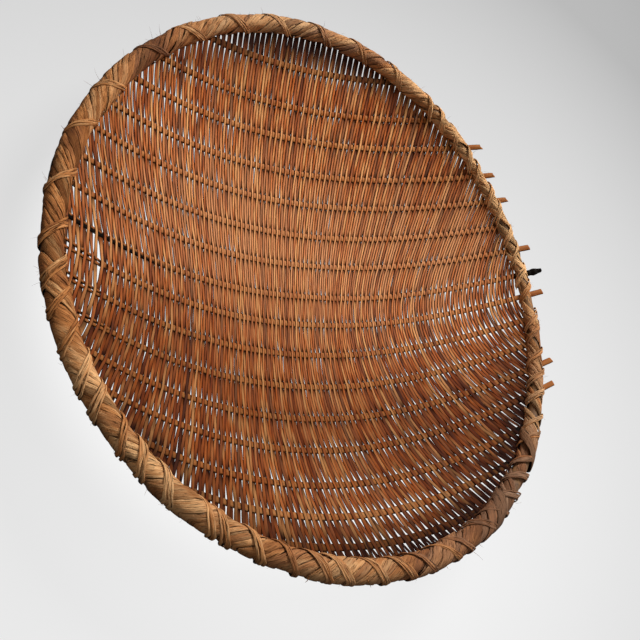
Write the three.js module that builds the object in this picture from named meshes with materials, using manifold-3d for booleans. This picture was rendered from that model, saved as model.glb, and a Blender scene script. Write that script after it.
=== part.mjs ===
// A round, shallow woven bamboo tray basket (zaru) with a lashed rim, standing on its base with its mouth up.
// Millimetres, +Z up, origin in the middle of the flat worn base, stakes along X, weavers along Y.

import * as THREE from 'three';
import { mergeVertices } from 'three/addons/utils/BufferGeometryUtils.js';
import Module from 'manifold-3d';

const wasm = await Module();
wasm.setup();

// Overall sizes, measured to the middle of the rim roll and of the woven wall
const rimHalfX = 220;
const rimHalfY = 230;
const bowlDepth = 67;
const rimWarp = 9;
const flatMiddleShare = 0.2;

// Fits
const seatGap = 0.3;
const wearDepth = 0.4;

// Stakes: the wide flat strips that run along X, each placed by its share of the half length along Y
const stakeWidth = 5;
const stakeThickness = 1.4;
const stakePlaceShares = [
  0.886, 0.751, 0.638, 0.511, 0.391, 0.261, 0.135, 0,
  -0.117, -0.243, -0.373, -0.498, -0.615, -0.736, -0.837, -0.927,
];

// The stakes' hand-laid lines: how far they lean, draw in, sag and swing, as shares of the half lengths
const leanShare = 0.077;
const leanSpreadShare = 0.042;
const drawInShare = 0.18;
const sagShare = 0.093;
const sagSpreadShare = 0.069;
const swingShare = 0.025;
const lineReachShare = 1.1;

// Cut ends of the stakes that stick out past the rim on the +X side, by stake number
const stubLengths = new Map([
  [3, 9.5], [4, 6.5], [5, 6.5], [6, 2], [7, 8.5], [8, 11], [9, 7.5], [12, 6], [13, 6],
]);

// Weavers: the fine strips along Y, in bands that cross the stakes over and under and fan out to the rim
const bandCount = 31;
const bandThickness = 0.9;
const bandGap = 0.4;
const bandLip = 1;

// The weavers' hand-laid lines: how far they lean, fan out and curl along Y, as shares of the half length along X,
// each by rising powers of a weaver's place from the middle to the rim
const weaverLeanShares = [0.09, 0.25, -0.24, -0.38];
const weaverFanShares = [-0.06, 0.5, 0.31];
const weaverCurlShares = [-0.02, -0.43, 0.08];

// Rim: two half-round hoops clamp the wall's edge, and lengths of bast bind them in diagonal turns
const hoopRadius = 6.1;
const slotClearance = 0.45;
const bindingThickness = 0.9;
const turnRise = 0.8;
const bindingCount = 8;
const turnsPerBinding = 8;
const bindingPoints = 8;
const hoopPoints = 6;
const turnLeanShare = 0.9;

// Derived sizes
const turnCount = bindingCount * turnsPerBinding;
const turnAngle = (2 * Math.PI) / turnCount;
const hoopSag = Math.max(rimHalfX, rimHalfY) * (1 - Math.cos(turnAngle / 2));
const slotHalf = stakeThickness / 2 + slotClearance;
const facetAngle = (2 * Math.PI) / (bindingPoints - 1);
const bindingInner = (hoopRadius + hoopSag + seatGap) / Math.cos(facetAngle / 2);
const bindingValley = bindingInner + bindingThickness;
const bindingCrest = bindingValley + turnRise;
const wallReach = bindingCrest + seatGap;
const weaveRise = stakeThickness / 2 + seatGap + bandThickness / 2;
const wallBase = weaveRise + bandThickness / 2 - wearDepth;
const bandPitch = (2 * (rimHalfX - wallReach)) / bandCount;
const cutHalfHeight = 2 * bindingCrest;
const probe = stakeThickness / 10;

// The woven wall's middle surface: a dish with a flattened middle, and beyond the rim a straight slope
function dishShare(s) {
  const flat = flatMiddleShare ** 2;
  const full = Math.sqrt(1 + flat ** 2);
  const span = full - flat;
  if (s < 1) return (Math.sqrt(s ** 4 + flat ** 2) - flat) / span;
  return 1 + (2 / (full * span)) * (s - 1);
}

function wallHeight(x, y) {
  const shareX = x / rimHalfX;
  const shareY = y / rimHalfY;
  const s = Math.hypot(shareX, shareY);
  const turn = s > 0 ? (shareX ** 2 - shareY ** 2) / s ** 2 : 0;
  const swell = s < 1 ? s ** 2 : 2 * s - 1;
  return wallBase + bowlDepth * dishShare(s) - rimWarp * turn * swell;
}

function wallNormal(x, y) {
  const slopeX = (wallHeight(x + probe, y) - wallHeight(x - probe, y)) / (2 * probe);
  const slopeY = (wallHeight(x, y + probe) - wallHeight(x, y - probe)) / (2 * probe);
  return new THREE.Vector3(-slopeX, -slopeY, 1).normalize();
}

function wallPoint(x, y, lift) {
  return new THREE.Vector3(x, y, wallHeight(x, y)).addScaledVector(wallNormal(x, y), lift);
}

// The height along Y of a stake at a place along X
function stakeY(place, x) {
  const u = THREE.MathUtils.clamp(x / rimHalfX, -lineReachShare, lineReachShare);
  const lean = leanShare + leanSpreadShare * place;
  const sag = sagShare - drawInShare * place + sagSpreadShare * place ** 2;
  return rimHalfY * (place + lean * u + sag * u ** 2 - swingShare * u ** 3);
}

// The place along X of a weaver line, from where it crosses the middle of the basket
function weaverX(middle, y) {
  const place = middle / rimHalfX;
  const v = y / rimHalfY;
  const byPlace = (shares) => shares.reduceRight((sum, share) => sum * place + share, 0);
  const lean = byPlace(weaverLeanShares);
  const fan = byPlace(weaverFanShares);
  const curl = byPlace(weaverCurlShares);
  return middle + rimHalfX * (lean * v + fan * v ** 2 + curl * v ** 3);
}

// Where a weaver line crosses a stake
function crossing(place, middle) {
  let y = stakeY(place, middle);
  for (let round = 0; round < 40; round += 1) y = stakeY(place, weaverX(middle, y));
  const x = weaverX(middle, y);
  const slope = (stakeY(place, x + probe) - stakeY(place, x - probe)) / (2 * probe);
  return { x, y, stretch: Math.hypot(1, slope) };
}

// A closed solid through a row of sections with equally many points, joined end to end as a ring or capped
function loft(sections, ring) {
  const count = sections[0].length;
  const points = sections.flat();
  const index = [];
  const last = ring ? sections.length : sections.length - 1;
  for (let i = 0; i < last; i += 1) {
    const here = i * count;
    const next = ((i + 1) % sections.length) * count;
    for (let j = 0; j < count; j += 1) {
      const k = (j + 1) % count;
      index.push(here + j, here + k, next + k, here + j, next + k, next + j);
    }
  }
  if (!ring) {
    const end = (sections.length - 1) * count;
    const cap = THREE.ShapeUtils.triangulateShape(flatten(sections[0]), []);
    const endCap = THREE.ShapeUtils.triangulateShape(flatten(sections[sections.length - 1]), []);
    for (const [a, b, c] of cap) index.push(c, b, a);
    for (const [a, b, c] of endCap) index.push(end + a, end + b, end + c);
  }
  const geometry = new THREE.BufferGeometry();
  geometry.setAttribute('position', new THREE.Float32BufferAttribute(points.flatMap((p) => p.toArray()), 3));
  geometry.setIndex(index);
  return geometry;
}

// A section's outline in its own plane, turned anticlockwise as the section's points run
function flatten(section) {
  const origin = section[0];
  const normal = new THREE.Vector3();
  for (let j = 0; j < section.length; j += 1) {
    const a = section[j].clone().sub(origin);
    const b = section[(j + 1) % section.length].clone().sub(origin);
    normal.add(a.cross(b));
  }
  normal.normalize();
  const across = section[1].clone().sub(origin).normalize();
  const up = normal.clone().cross(across);
  return section.map((p) => {
    const d = p.clone().sub(origin);
    return new THREE.Vector2(d.dot(across), d.dot(up));
  });
}

// Joins and cuts work on closed solids, and their result becomes a mesh's geometry again
function toSolid(geometry) {
  const merged = mergeVertices(geometry);
  return new wasm.Manifold(new wasm.Mesh({
    numProp: 3,
    vertProperties: new Float32Array(merged.attributes.position.array),
    triVerts: new Uint32Array(merged.index.array),
  }));
}

function toGeometry(solid) {
  const mesh = solid.getMesh();
  const geometry = new THREE.BufferGeometry();
  geometry.setAttribute('position', new THREE.BufferAttribute(mesh.vertProperties, 3));
  geometry.setIndex(new THREE.BufferAttribute(mesh.triVerts, 1));
  return geometry;
}

// The rim's frame at an angle round the basket: its middle, the way the wall runs out and its upper side
function rimFrame(angle) {
  const x = rimHalfX * Math.cos(angle);
  const y = rimHalfY * Math.sin(angle);
  const middle = wallPoint(x, y, 0);
  const up = wallNormal(x, y);
  const along = new THREE.Vector3(-rimHalfX * Math.sin(angle), rimHalfY * Math.cos(angle), 0);
  const out = along.cross(up).normalize();
  return { middle, out, up };
}

function rimPoint(angle, outward, upward) {
  const { middle, out, up } = rimFrame(angle);
  return middle.addScaledVector(out, outward).addScaledVector(up, upward);
}

// The space inside the rim and above the floor, which trims the bands
function innerSpace() {
  const rings = [[], [], []];
  const steps = 2 * turnCount;
  for (let i = 0; i < steps; i += 1) {
    const angle = (i * turnAngle) / 2;
    const low = rimPoint(angle, -wallReach, -cutHalfHeight);
    rings[0].push(new THREE.Vector3(low.x, low.y, 0));
    rings[1].push(low);
    rings[2].push(rimPoint(angle, -wallReach, cutHalfHeight));
  }
  const foot = new THREE.Vector3();
  const peak = new THREE.Vector3(0, 0, 2 * bowlDepth);
  const index = [];
  const footIndex = 3 * steps;
  const peakIndex = footIndex + 1;
  for (let i = 0; i < steps; i += 1) {
    const k = (i + 1) % steps;
    index.push(footIndex, k, i, peakIndex, 2 * steps + i, 2 * steps + k);
    for (let ring = 0; ring < 2; ring += 1) {
      const low = ring * steps;
      const high = low + steps;
      index.push(low + i, low + k, high + k, low + i, high + k, high + i);
    }
  }
  const points = [...rings.flat(), foot, peak];
  const geometry = new THREE.BufferGeometry();
  geometry.setAttribute('position', new THREE.Float32BufferAttribute(points.flatMap((p) => p.toArray()), 3));
  geometry.setIndex(index);
  return toSolid(geometry);
}

// A flat strip's section on the wall, from its lower left corner round to its upper left one
function stripSection(left, right, lift, thickness) {
  return [
    wallPoint(left.x, left.y, lift - thickness / 2),
    wallPoint(right.x, right.y, lift - thickness / 2),
    wallPoint(right.x, right.y, lift + thickness / 2),
    wallPoint(left.x, left.y, lift + thickness / 2),
  ];
}

// Where a band's left and right edges cross the middle of the basket
function bandEdges(number) {
  const middle = (number - (bandCount - 1) / 2) * bandPitch;
  const half = (bandPitch - bandGap) / 2;
  return [middle - half, middle + half];
}

// One band of weavers, under or over each stake in turn
function bandGeometry(number, space) {
  const edges = bandEdges(number);
  const sections = [];
  const addSection = (places, lift) => {
    const [left, right] = edges.map((edge, side) => ({
      x: weaverX(edge, places[side]),
      y: places[side],
    }));
    sections.push(stripSection(left, right, lift, bandThickness));
  };
  const outside = rimHalfY + wallReach;
  addSection([outside, outside], 0);
  stakePlaceShares.forEach((place, stake) => {
    const lift = (number + stake) % 2 === 0 ? -weaveRise : weaveRise;
    const meets = edges.map((edge) => crossing(place, edge));
    for (const side of [1, -1]) {
      addSection(meets.map((meet) => meet.y + side * ((stakeWidth / 2) * meet.stretch + bandLip)), lift);
    }
  });
  addSection([-outside, -outside], 0);
  return toGeometry(toSolid(loft(sections, false)).intersect(space));
}

// How far along X a stake runs before it has passed the middle of the rim roll by a given length
function stakeEnd(place, direction, beyond) {
  const target = 1 + beyond / rimHalfX;
  let near = 0;
  let far = direction * 2 * rimHalfX;
  for (let round = 0; round < 50; round += 1) {
    const x = (near + far) / 2;
    const s = Math.hypot(x / rimHalfX, stakeY(place, x) / rimHalfY);
    if (s < target) near = x;
    else far = x;
  }
  return near;
}

// One stake, with a joint in its facets at each band edge, widened by a clearance where it cuts its own slot
function stakeGeometry(stake, clearance) {
  const place = stakePlaceShares[stake];
  const stub = stubLengths.get(stake + 1);
  const reach = stub === undefined ? 0 : bindingCrest + stub + clearance;
  const start = clearance > 0 ? 0 : stakeEnd(place, -1, 0);
  const end = stakeEnd(place, 1, reach);
  const joints = [];
  for (let number = 0; number <= bandCount; number += 1) {
    const middle = (number - bandCount / 2) * bandPitch;
    joints.push(crossing(place, middle).x);
  }
  const places = [start, ...joints.filter((x) => x > start + stakeWidth && x < end - stakeWidth), end];
  const half = stakeWidth / 2 + clearance;
  const thickness = stakeThickness + 2 * clearance;
  return loft(places.map((x) => {
    const y = stakeY(place, x);
    const slope = (stakeY(place, x + probe) - stakeY(place, x - probe)) / (2 * probe);
    const reachY = half * Math.hypot(1, slope);
    return stripSection({ x, y: y - reachY }, { x, y: y + reachY }, 0, thickness);
  }), false);
}

// A half-round hoop on the upper or the lower side of the wall's edge
function hoopGeometry(side) {
  const sections = [];
  const tilt = Math.asin(slotHalf / hoopRadius);
  for (let i = 0; i < turnCount; i += 1) {
    const section = [];
    for (let j = 0; j < hoopPoints; j += 1) {
      const turn = tilt + ((Math.PI - 2 * tilt) * j) / (hoopPoints - 1);
      section.push(rimPoint(i * turnAngle, hoopRadius * Math.cos(turn), side * hoopRadius * Math.sin(turn)));
    }
    sections.push(side > 0 ? section.reverse() : section);
  }
  return loft(sections, true);
}

// One length of the rim's binding: diagonal turns round both hoops, open where the wall comes in
function bindingGeometry(number, slots) {
  const steps = 2 * turnsPerBinding;
  const first = number * steps;
  const endTrim = seatGap / 2 / rimHalfX;
  const sections = [];
  for (let i = 0; i <= steps; i += 1) {
    const trim = (i === 0 ? endTrim : 0) - (i === steps ? endTrim : 0);
    const angle = ((first + i) * turnAngle) / 2 + trim;
    const outer = (first + i) % 2 === 0 ? bindingValley : bindingCrest;
    const outerRing = [];
    const innerRing = [];
    for (let j = 0; j < bindingPoints; j += 1) {
      const share = j / (bindingPoints - 1) - 0.5;
      const lean = share * turnLeanShare * turnAngle;
      for (const [radius, list] of [[outer, outerRing], [bindingInner, innerRing]]) {
        const mouth = Math.asin(slotHalf / radius);
        const turn = 2 * (Math.PI - mouth) * share;
        list.push(rimPoint(angle + lean, radius * Math.cos(turn), radius * Math.sin(turn)));
      }
    }
    sections.push([...outerRing, ...innerRing.reverse()].reverse());
  }
  let solid = toSolid(loft(sections, false));
  for (const slot of slots) solid = solid.subtract(slot);
  return toGeometry(solid);
}

// Colours and finishes
const stakeFinish = { color: 0x9c5c28, roughness: 0.5, metalness: 0 };
const bandFinish = { color: 0xa8622a, roughness: 0.45, metalness: 0 };
const hoopFinish = { color: 0x8c6236, roughness: 0.7, metalness: 0 };
const bindingFinish = { color: 0xa67c4e, roughness: 0.8, metalness: 0 };

const basket = new THREE.Group();

function add(name, geometry, finish) {
  const mesh = new THREE.Mesh(geometry, new THREE.MeshStandardMaterial(finish));
  mesh.name = name;
  basket.add(mesh);
}

function twoDigits(number) {
  return String(number).padStart(2, '0');
}

const space = innerSpace();
const slots = [];

stakePlaceShares.forEach((place, stake) => {
  add(`stake_${twoDigits(stake + 1)}`, stakeGeometry(stake, 0), stakeFinish);
  if (stubLengths.has(stake + 1)) slots.push(toSolid(stakeGeometry(stake, seatGap)));
});

for (let number = 0; number < bandCount; number += 1) {
  add(`weaver_band_${twoDigits(number + 1)}`, bandGeometry(number, space), bandFinish);
}

add('rim_hoop_inner', hoopGeometry(1), hoopFinish);
add('rim_hoop_outer', hoopGeometry(-1), hoopFinish);

for (let number = 0; number < bindingCount; number += 1) {
  add(`rim_binding_${number + 1}`, bindingGeometry(number, slots), bindingFinish);
}

export default basket;
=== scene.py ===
"""A round, shallow zaru basket: fine split-bamboo weavers over flat stakes, with a bast-wrapped rim.

Lengths are in millimetres until a mesh is made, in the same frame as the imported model: +Z up, the origin in the
middle of the worn base, stakes along X and weavers along Y. Angles round the rim run from +X towards +Y.
"""
import math

import bpy
import numpy as np
from mathutils import Matrix, Vector


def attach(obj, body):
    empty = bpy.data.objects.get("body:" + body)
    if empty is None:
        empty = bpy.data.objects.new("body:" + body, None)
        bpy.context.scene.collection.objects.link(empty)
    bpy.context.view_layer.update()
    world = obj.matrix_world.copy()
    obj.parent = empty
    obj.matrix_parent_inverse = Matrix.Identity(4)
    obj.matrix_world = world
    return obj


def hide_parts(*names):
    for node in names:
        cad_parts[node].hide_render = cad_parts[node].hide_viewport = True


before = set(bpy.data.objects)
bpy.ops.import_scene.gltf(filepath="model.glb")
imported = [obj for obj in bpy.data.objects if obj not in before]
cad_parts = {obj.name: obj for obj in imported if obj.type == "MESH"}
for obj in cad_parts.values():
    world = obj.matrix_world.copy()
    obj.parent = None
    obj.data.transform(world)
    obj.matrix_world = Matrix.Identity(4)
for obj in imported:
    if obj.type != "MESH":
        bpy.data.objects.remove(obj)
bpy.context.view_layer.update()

MM = 0.001

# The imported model's own sizes
RIM_HALF_X = 220.0
RIM_HALF_Y = 230.0
BOWL_DEPTH = 67.0
RIM_WARP = 9.0
FLAT_MIDDLE = 0.2
WALL_BASE = 1.5
STAKE_PLACES = np.array([0.886, 0.751, 0.638, 0.511, 0.391, 0.261, 0.135, 0.0,
                         -0.117, -0.243, -0.373, -0.498, -0.615, -0.736, -0.837, -0.927])
STAKE_LEAN, STAKE_LEAN_SPREAD = 0.077, 0.042
STAKE_SAG, STAKE_DRAW_IN, STAKE_SAG_SPREAD, STAKE_SWING = 0.093, 0.18, 0.069, 0.025
STAKE_REACH = 1.1
BAND_LEAN_FAN_CURL = ([0.09, 0.25, -0.24, -0.38], [-0.06, 0.5, 0.31], [-0.02, -0.43, 0.08])
BAND_COUNT = 31
WALL_REACH = 9.2
TURN_COUNT = 64
BINDING_COUNT = 8
BINDING_CREST = 8.9
HOOP_RADIUS = 6.1
SLOT_HALF = 1.15
# How much angle a millimetre along the rim's middle takes up
ARC = 1 / (0.5 * (RIM_HALF_X + RIM_HALF_Y))

# Sections, in half widths and half thicknesses: a weaver's flattened round with its crown up, a stake's slat with
# softened edges, a bast strip's low crown over a flat underside, and a fibre's square
ROUND = np.array([(1, -0.1), (0.7, -0.7), (0, -0.9), (-0.7, -0.7), (-1, -0.1), (-0.68, 0.6), (0, 1.35),
                  (0.68, 0.6)])
SLAT = np.array([(1, 0.1), (0.96, -0.6), (0.8, -0.95), (-0.8, -0.95), (-0.96, -0.6), (-1, 0.1), (-0.6, 1.0),
                 (0.6, 1.0)])
STRIP = np.array([(-1, 0.0), (-0.5, -0.3), (0.5, -0.3), (1, 0.0), (0.8, 0.75), (0.3, 1.0), (-0.3, 1.0),
                  (-0.8, 0.75)])
SQUARE = np.array([(1, 0), (0, -1), (-1, 0), (0, 1)])

# Stakes: they narrow towards the left, and bend down by STAKE_DIP where a weaver goes over and up where one goes
# under
STAKE_WIDTH = 5.6
STAKE_NARROWS = ([-RIM_HALF_X, -0.4 * RIM_HALF_X], [0.74, 1])
STAKE_THICKNESS = 1.15
STAKE_DIP = 0.3
STAKE_STEP, STAKE_FEWEST_STEPS = 0.6, 24
EDGE_WANDER, STAKE_TONE_WANDER = (0.16, 60), (0.1, 70)
# Stubs past the rim: length, how far the near edge runs ahead of the far one, and the end's share of the width
STUBS = {3: (6.6, 5.0, 0.9), 4: (3.4, 3.2, 0.85), 5: (3.8, 3.4, 0.85), 6: (-2.2, 0.0, 0.5), 7: (6.4, 1.2, 0.95),
         8: (10.0, 0.4, 0.6), 9: (6.2, 0.5, 1.0), 12: (4.5, 0.8, 0.95), 13: (5.0, -0.8, 1.0)}
STUB_TAPER = 3.5
STUB_SWELL = 0.6
# The charred stake: how much of its right end is burnt, over what length the burn sets in, its lumps across and in
# thickness as mean, height and radians to the millimetre, and where its left part is black with painted shadow
CHARRED_STAKE = 8
BURNT_END, BURN_SETS_IN = 15, 5
WIDE_LUMPS, THICK_LUMPS = (0.12, 0.13, 0.8), (1.4, 0.7, 1.1)
LEFT_PAINTED_SHADOW = ([-185, -150, -110], [1.0, 0.75, 0.0])
# Stakes whose left end is split in two: how far the halves gape, and the length of the split
FORKED_STAKES = {9: 2.4, 10: 1.6, 11: 1.2}
FORK_LENGTH = 42.0

# Weavers: how far apart they lie across the middle, from the left edge to the right
PITCH_PLACES = [-215, -192, -180, -120, -75, 35, 60, 110, 160, 215]
PITCHES = [2.7, 2.6, 2.32, 2.22, 2.05, 2.05, 2.25, 2.45, 2.8, 2.95]
OUTER_WEAVER = 6.0
WEAVER_LEAN_FAN_CURL = ([0.07, 0.26, -0.25, -0.38], [0.0, 0.54, 0.36, 0.26], [-0.03, -0.43, -0.03, -0.29])
# How far a weaver bows to the left just below the middle, by its place, and where the bow lies along Y
WEAVER_BOWS = ([-210, -150, -87, -30, 20, 57, 93, 140, 180, 215], [-3, -5, -3, 0, 3, 9, 12, 13, 11, 8])
BOW_MIDDLE, BOW_LENGTH = -10, 70
# How strongly its lower end hooks back to the right, per square millimetre past HOOK_FROM
WEAVER_HOOKS = ([-200, -150, 21, 57, 93], [0.0006, 0.001, 0.001, 0.0008, 0.0])
HOOK_FROM = 80.0
NO_BOWS = NO_HOOKS = ([0], [0])
WEAVER_THICKNESS = 0.66
# How high a weaver rises over a stake, the half length of that bend, and of the paler stretch round it
WEAVER_RISE = 0.8
WEAVER_BEND = 5.8
SWAY_LENGTH = 10
# Samples between two crossings, how much they crowd at them, how near its end a crossing no longer counts, and at
# which share of the way to the rim's middle a weaver ends
SAMPLES_PER_SPAN = 9
SAMPLE_CROWDING = 0.11
LAST_CROSSING = 4
WEAVER_ENDS = 0.993
# Two neighbours near the left rim that stand apart: their place, the gap, how fast it fades to each side, and its
# middle and half length along Y
LOOSE_PLACE, LOOSE_GAP, LOOSE_FADE = -189.5, 2.6, 9
LOOSE_MIDDLE, LOOSE_LENGTH = -12, 24
# A weaver lies this share of the pitch further right where it goes over a stake, and further left where it goes
# under
SLIDE = 0.1
# Under the rim the ends lean together in pairs, by a share of the pitch and over a length, and the strips narrow
END_PAIRING, END_PAIRING_LENGTH = 0.34, 9
END_NARROWS, END_NARROWS_LENGTH = 0.2, 12
# Where the upper ends lie evenly instead: x, y, radius and how evenly
SNUG = [(190, 90, 70, 0.9)]
# How a weaver wanders, as amount and wave: its line by a share of the pitch, then its width, twist and tone
LINE_WANDER, LINE_WAVE = 0.07, 120
WIDTH_WANDER, TWIST_WANDER, TONE_WANDER = (0.05, 60), (0.14, 90), (0.12, 60)

# Widths of a weaver as shares of the room it has: halfway between two stakes, over a stake and under one
WIDTH_BETWEEN, WIDTH_OVER, WIDTH_UNDER = 1.14, 0.98, 2.02
WIDEST_WEAVER = 4.4
# Where the weave is slack, and the crossings under a stake are narrower: x, y, radius and how much narrower
SLACK = [(-215, 0, 60, 0.18), (-140, 140, 70, 0.34), (20, 215, 60, 0.4), (160, -20, 60, 0.66),
         (10, -215, 75, 0.56), (-130, -120, 60, 0.26), (100, -80, 50, 0.28), (175, -140, 55, -0.36),
         (-150, -20, 35, -0.32), (195, 5, 30, 0.45), (-70, -60, 70, -0.22), (-10, -115, 70, -0.1),
         (-90, 30, 60, -0.2), (-190, 60, 50, -0.3), (75, -185, 50, 0.26), (190, 70, 40, -0.2),
         (120, 150, 60, -0.2), (135, -165, 35, -0.35)]
# Patches of painted shade, mostly over the lower half: x, y, radius and how much
SHADE_PATCHES = [(-175, -70, 75, 0.5), (-90, -150, 90, 0.33), (30, -150, 100, 0.47), (130, -120, 80, 0.47),
          (195, -60, 60, 0.2), (-200, 60, 50, 0.25), (130, 150, 60, 0.1), (-60, -40, 90, 0.2),
          (-80, 190, 60, 0.2)]
# Painted sheen: pale patches where the gloss catches the light, in the same way
SHEEN_PATCHES = [(-60, 50, 85, 0.65), (90, 40, 80, 0.6), (170, 60, 50, 0.4), (-150, 40, 50, 0.35), (130, 80, 60, 0.4)]
# Painted shade along the rim, where it shades the weave: the angle where it is strongest, how far it spreads and
# how strong it is. Then from which share of the way to the rim it starts, and over what share it grows
RIM_SHADE_BELLS, RIM_SHADE_FROM, RIM_SHADE_GROWS = [(300, 46, 1.3), (226, 20, 0.5)], 0.77, 0.18
# The same painted shade under the far rim, and a little all round
FAR_SHADE, FAR_SHADE_FROM, FAR_SHADE_GROWS = (95, 35, 1.0), 0.84, 0.08
RIM_SHADE_EVERYWHERE = 0.2

# The roll of bast: its radius, by degrees round the rim its girth as a share of the full one, which is less where
# the stakes' ends stick out and on the far side, and how far out its middle lies there
ROLL_RADIUS = 7.3
RIM_GIRTHS = ([0, 25, 45, 55, 70, 120, 160, 200, 240, 300, 330, 360],
              [0.74, 0.7, 0.72, 0.84, 0.86, 0.88, 0.93, 0.97, 1.0, 1.0, 0.88, 0.74])
ROLL_OUT = ([40, 60, 120, 150], [0, 1.1, 1.1, 0])
# By degrees too, how much lighter the bast is than elsewhere, partly its own tone and partly painted light and
# shade, and how grey it has weathered
RIM_TONE_AND_LIGHT = ([0, 15, 30, 45, 60, 75, 90, 105, 120, 135, 150, 180, 195, 210, 240, 270, 285, 300, 315, 330, 345, 360],
              [0.3, 0.9, 0.8, 0.55, 0.45, 0.45, 0.12, 0.55, 0.25, -0.3, -0.05, 0.05, -0.12, 0.3, 0.35, 0.3,
               -0.18, -0.6, -0.5, 0.4, 0.15, 0.3])
RIM_GREYS = ([0, 60, 95, 110, 125, 180, 240, 295, 305, 325, 360],
             [0.2, 0.2, 0.6, 0.6, 0.3, 0.1, 0.25, 0.55, 0.75, 0.6, 0.3])
# A strip of bast: its thickness, the samples round its turn, about how long half a turn is, and how its middle, its
# width as a share, its lean, lift and tone wander, as amount and wave
STRIP_THICKNESS = 0.55
STRIP_SAMPLES = 46
HALF_TURN = 20
MIDDLE_WANDER, SHARE_WANDER, LEAN_WANDER = (0.5, 24), (0.12, 17), (0.1, 19)
LIFT_WANDER, STRIP_TONE_WANDER = (0.15, 13), (0.08, 16)
# A narrow turn rides this much higher than the wide ones, and on the worn side of the rim higher still
NARROW_LIFT, NARROW_LIFT_WORN = 1.0, 1.3
# The widest half of a wide turn, as a share of the way from one turn to the next
WIDE_HALF = 0.58

# Loose fibres: the short ones are strewn all round, and the long ones are where the basket has them, by degrees,
# length and thickness
FIBRE_COUNT = 230
FIBRE_SAMPLES = 9
FIBRE_FOOT = 8.2
FIBRE_UP = [0.21, 0.17, 0.96]
LONG_FIBRES = [(134, 8, 0.25), (136, 9, 0.25), (144, 7, 0.22), (151.5, 12, 0.25), (153, 9, 0.25), (164, 5, 0.6),
               (174, 6, 0.3), (265.5, 7, 0.9), (290, 12, 0.3), (92.5, 6, 0.25), (108, 6, 0.25), (255, 5, 0.9),
               (20.5, 4, 0.5)]

rng = np.random.default_rng(35)


# The wall and the lines on it

def unit(vectors):
    """The vectors divided by their lengths."""
    return vectors / np.linalg.norm(vectors, axis=-1, keepdims=True)


def rim_share(x, y):
    """How far out a place lies: the root of the squares of x and y as shares of the rim's half lengths."""
    return np.hypot(x / RIM_HALF_X, y / RIM_HALF_Y)


def wall_height(x, y):
    """A dish with a flattened middle: the root of s^4 plus a flat share, s being the distance to the rim as a share.

    Past the rim it goes on as a straight slope, and a saddle grows with s squared.
    """
    share_x = x / RIM_HALF_X
    share_y = y / RIM_HALF_Y
    s = np.hypot(share_x, share_y)
    flat = FLAT_MIDDLE ** 2
    full = math.sqrt(1 + flat ** 2)
    dish = np.where(s < 1, (np.sqrt(s ** 4 + flat ** 2) - flat) / (full - flat),
                    1 + 2 / (full * (full - flat)) * (s - 1))
    saddle = (share_x ** 2 - share_y ** 2) / np.maximum(s, 1e-9) ** 2
    swell = np.where(s < 1, s ** 2, 2 * s - 1)
    return WALL_BASE + BOWL_DEPTH * dish - RIM_WARP * saddle * swell


def wall_normal(x, y):
    """The upright of the wall, from the slopes of its height over a small step."""
    step = 0.14
    slope_x = (wall_height(x + step, y) - wall_height(x - step, y)) / (2 * step)
    slope_y = (wall_height(x, y + step) - wall_height(x, y - step)) / (2 * step)
    return unit(np.stack([-slope_x, -slope_y, np.ones_like(slope_x)], -1))


def wall_point(x, y, lift=0.0):
    """A point of the wall, carried along the wall's normal by lift."""
    base = np.stack([x, y, wall_height(x, y)], -1)
    return base + wall_normal(x, y) * np.asarray(lift)[..., None]


def stake_line(place, x):
    """A stake's Y over X: place, plus lean, sag and swing as powers of the share of the half length."""
    u = np.clip(x / RIM_HALF_X, -STAKE_REACH, STAKE_REACH)
    lean = STAKE_LEAN + STAKE_LEAN_SPREAD * place
    sag = STAKE_SAG - STAKE_DRAW_IN * place + STAKE_SAG_SPREAD * place ** 2
    return RIM_HALF_Y * (place + lean * u + sag * u ** 2 - STAKE_SWING * u ** 3)


def weaver_line(middle, y, shape=WEAVER_LEAN_FAN_CURL, bows=WEAVER_BOWS, hooks=WEAVER_HOOKS):
    """A weaver's X over Y: its place in the middle, plus lean, fan and curl as powers of the share of Y.

    A soft bell below the middle is taken off, as high as bows says, less its height in the middle. Near the lower
    end the square of the way past HOOK_FROM is added, as strongly as hooks says.
    """
    place = middle / RIM_HALF_X
    v = y / RIM_HALF_Y
    lean, fan, curl = (np.polyval(shares[::-1], place) for shares in shape)
    bell = np.exp(-((y - BOW_MIDDLE) / BOW_LENGTH) ** 2) - math.exp(-(BOW_MIDDLE / BOW_LENGTH) ** 2)
    bow = np.interp(middle, *bows) * bell
    hook = np.interp(middle, *hooks) * np.maximum(-y - HOOK_FROM, 0) ** 2
    return middle + RIM_HALF_X * (lean * v + fan * v ** 2 + curl * v ** 3) - bow + hook


def rim_frame(angle):
    """The middle of the rim roll at an angle, with the directions out along the wall and up from it."""
    x = RIM_HALF_X * np.cos(angle)
    y = RIM_HALF_Y * np.sin(angle)
    up = wall_normal(x, y)
    along = np.stack([-RIM_HALF_X * np.sin(angle), RIM_HALF_Y * np.cos(angle), np.zeros_like(angle)], -1)
    return wall_point(x, y), unit(np.cross(along, up)), up


def rim_point(angle, radius, turn):
    """A point round the rim roll: turn 0 faces out, a quarter turn faces up, half a turn faces the weave."""
    middle, out, up = rim_frame(angle)
    middle = middle + out * np.interp(np.degrees(angle) % 360, *ROLL_OUT)[..., None]
    return middle + out * (radius * np.cos(turn))[..., None] + up * (radius * np.sin(turn))[..., None]


def rim_girth(angle):
    """The roll's girth at an angle, as a share of its full one."""
    return np.interp(np.degrees(angle) % 360, *RIM_GIRTHS)


def wobble(places, amount, wave):
    """A smooth wander along a piece: a sum of four sines, each shorter and weaker, with drawn phases.

    The second sine is 1.83 times as quick and half as strong as the first, the third 2.66 times and a third, and so
    on. The division by 1.4 keeps about nine places in ten within the amount.
    """
    total = np.zeros_like(places)
    for step in range(4):
        total += np.sin(places / wave * (1 + 0.83 * step) * 2 * math.pi + rng.uniform(0, 2 * math.pi)) / (1 + step)
    return amount * total / 1.4


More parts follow.
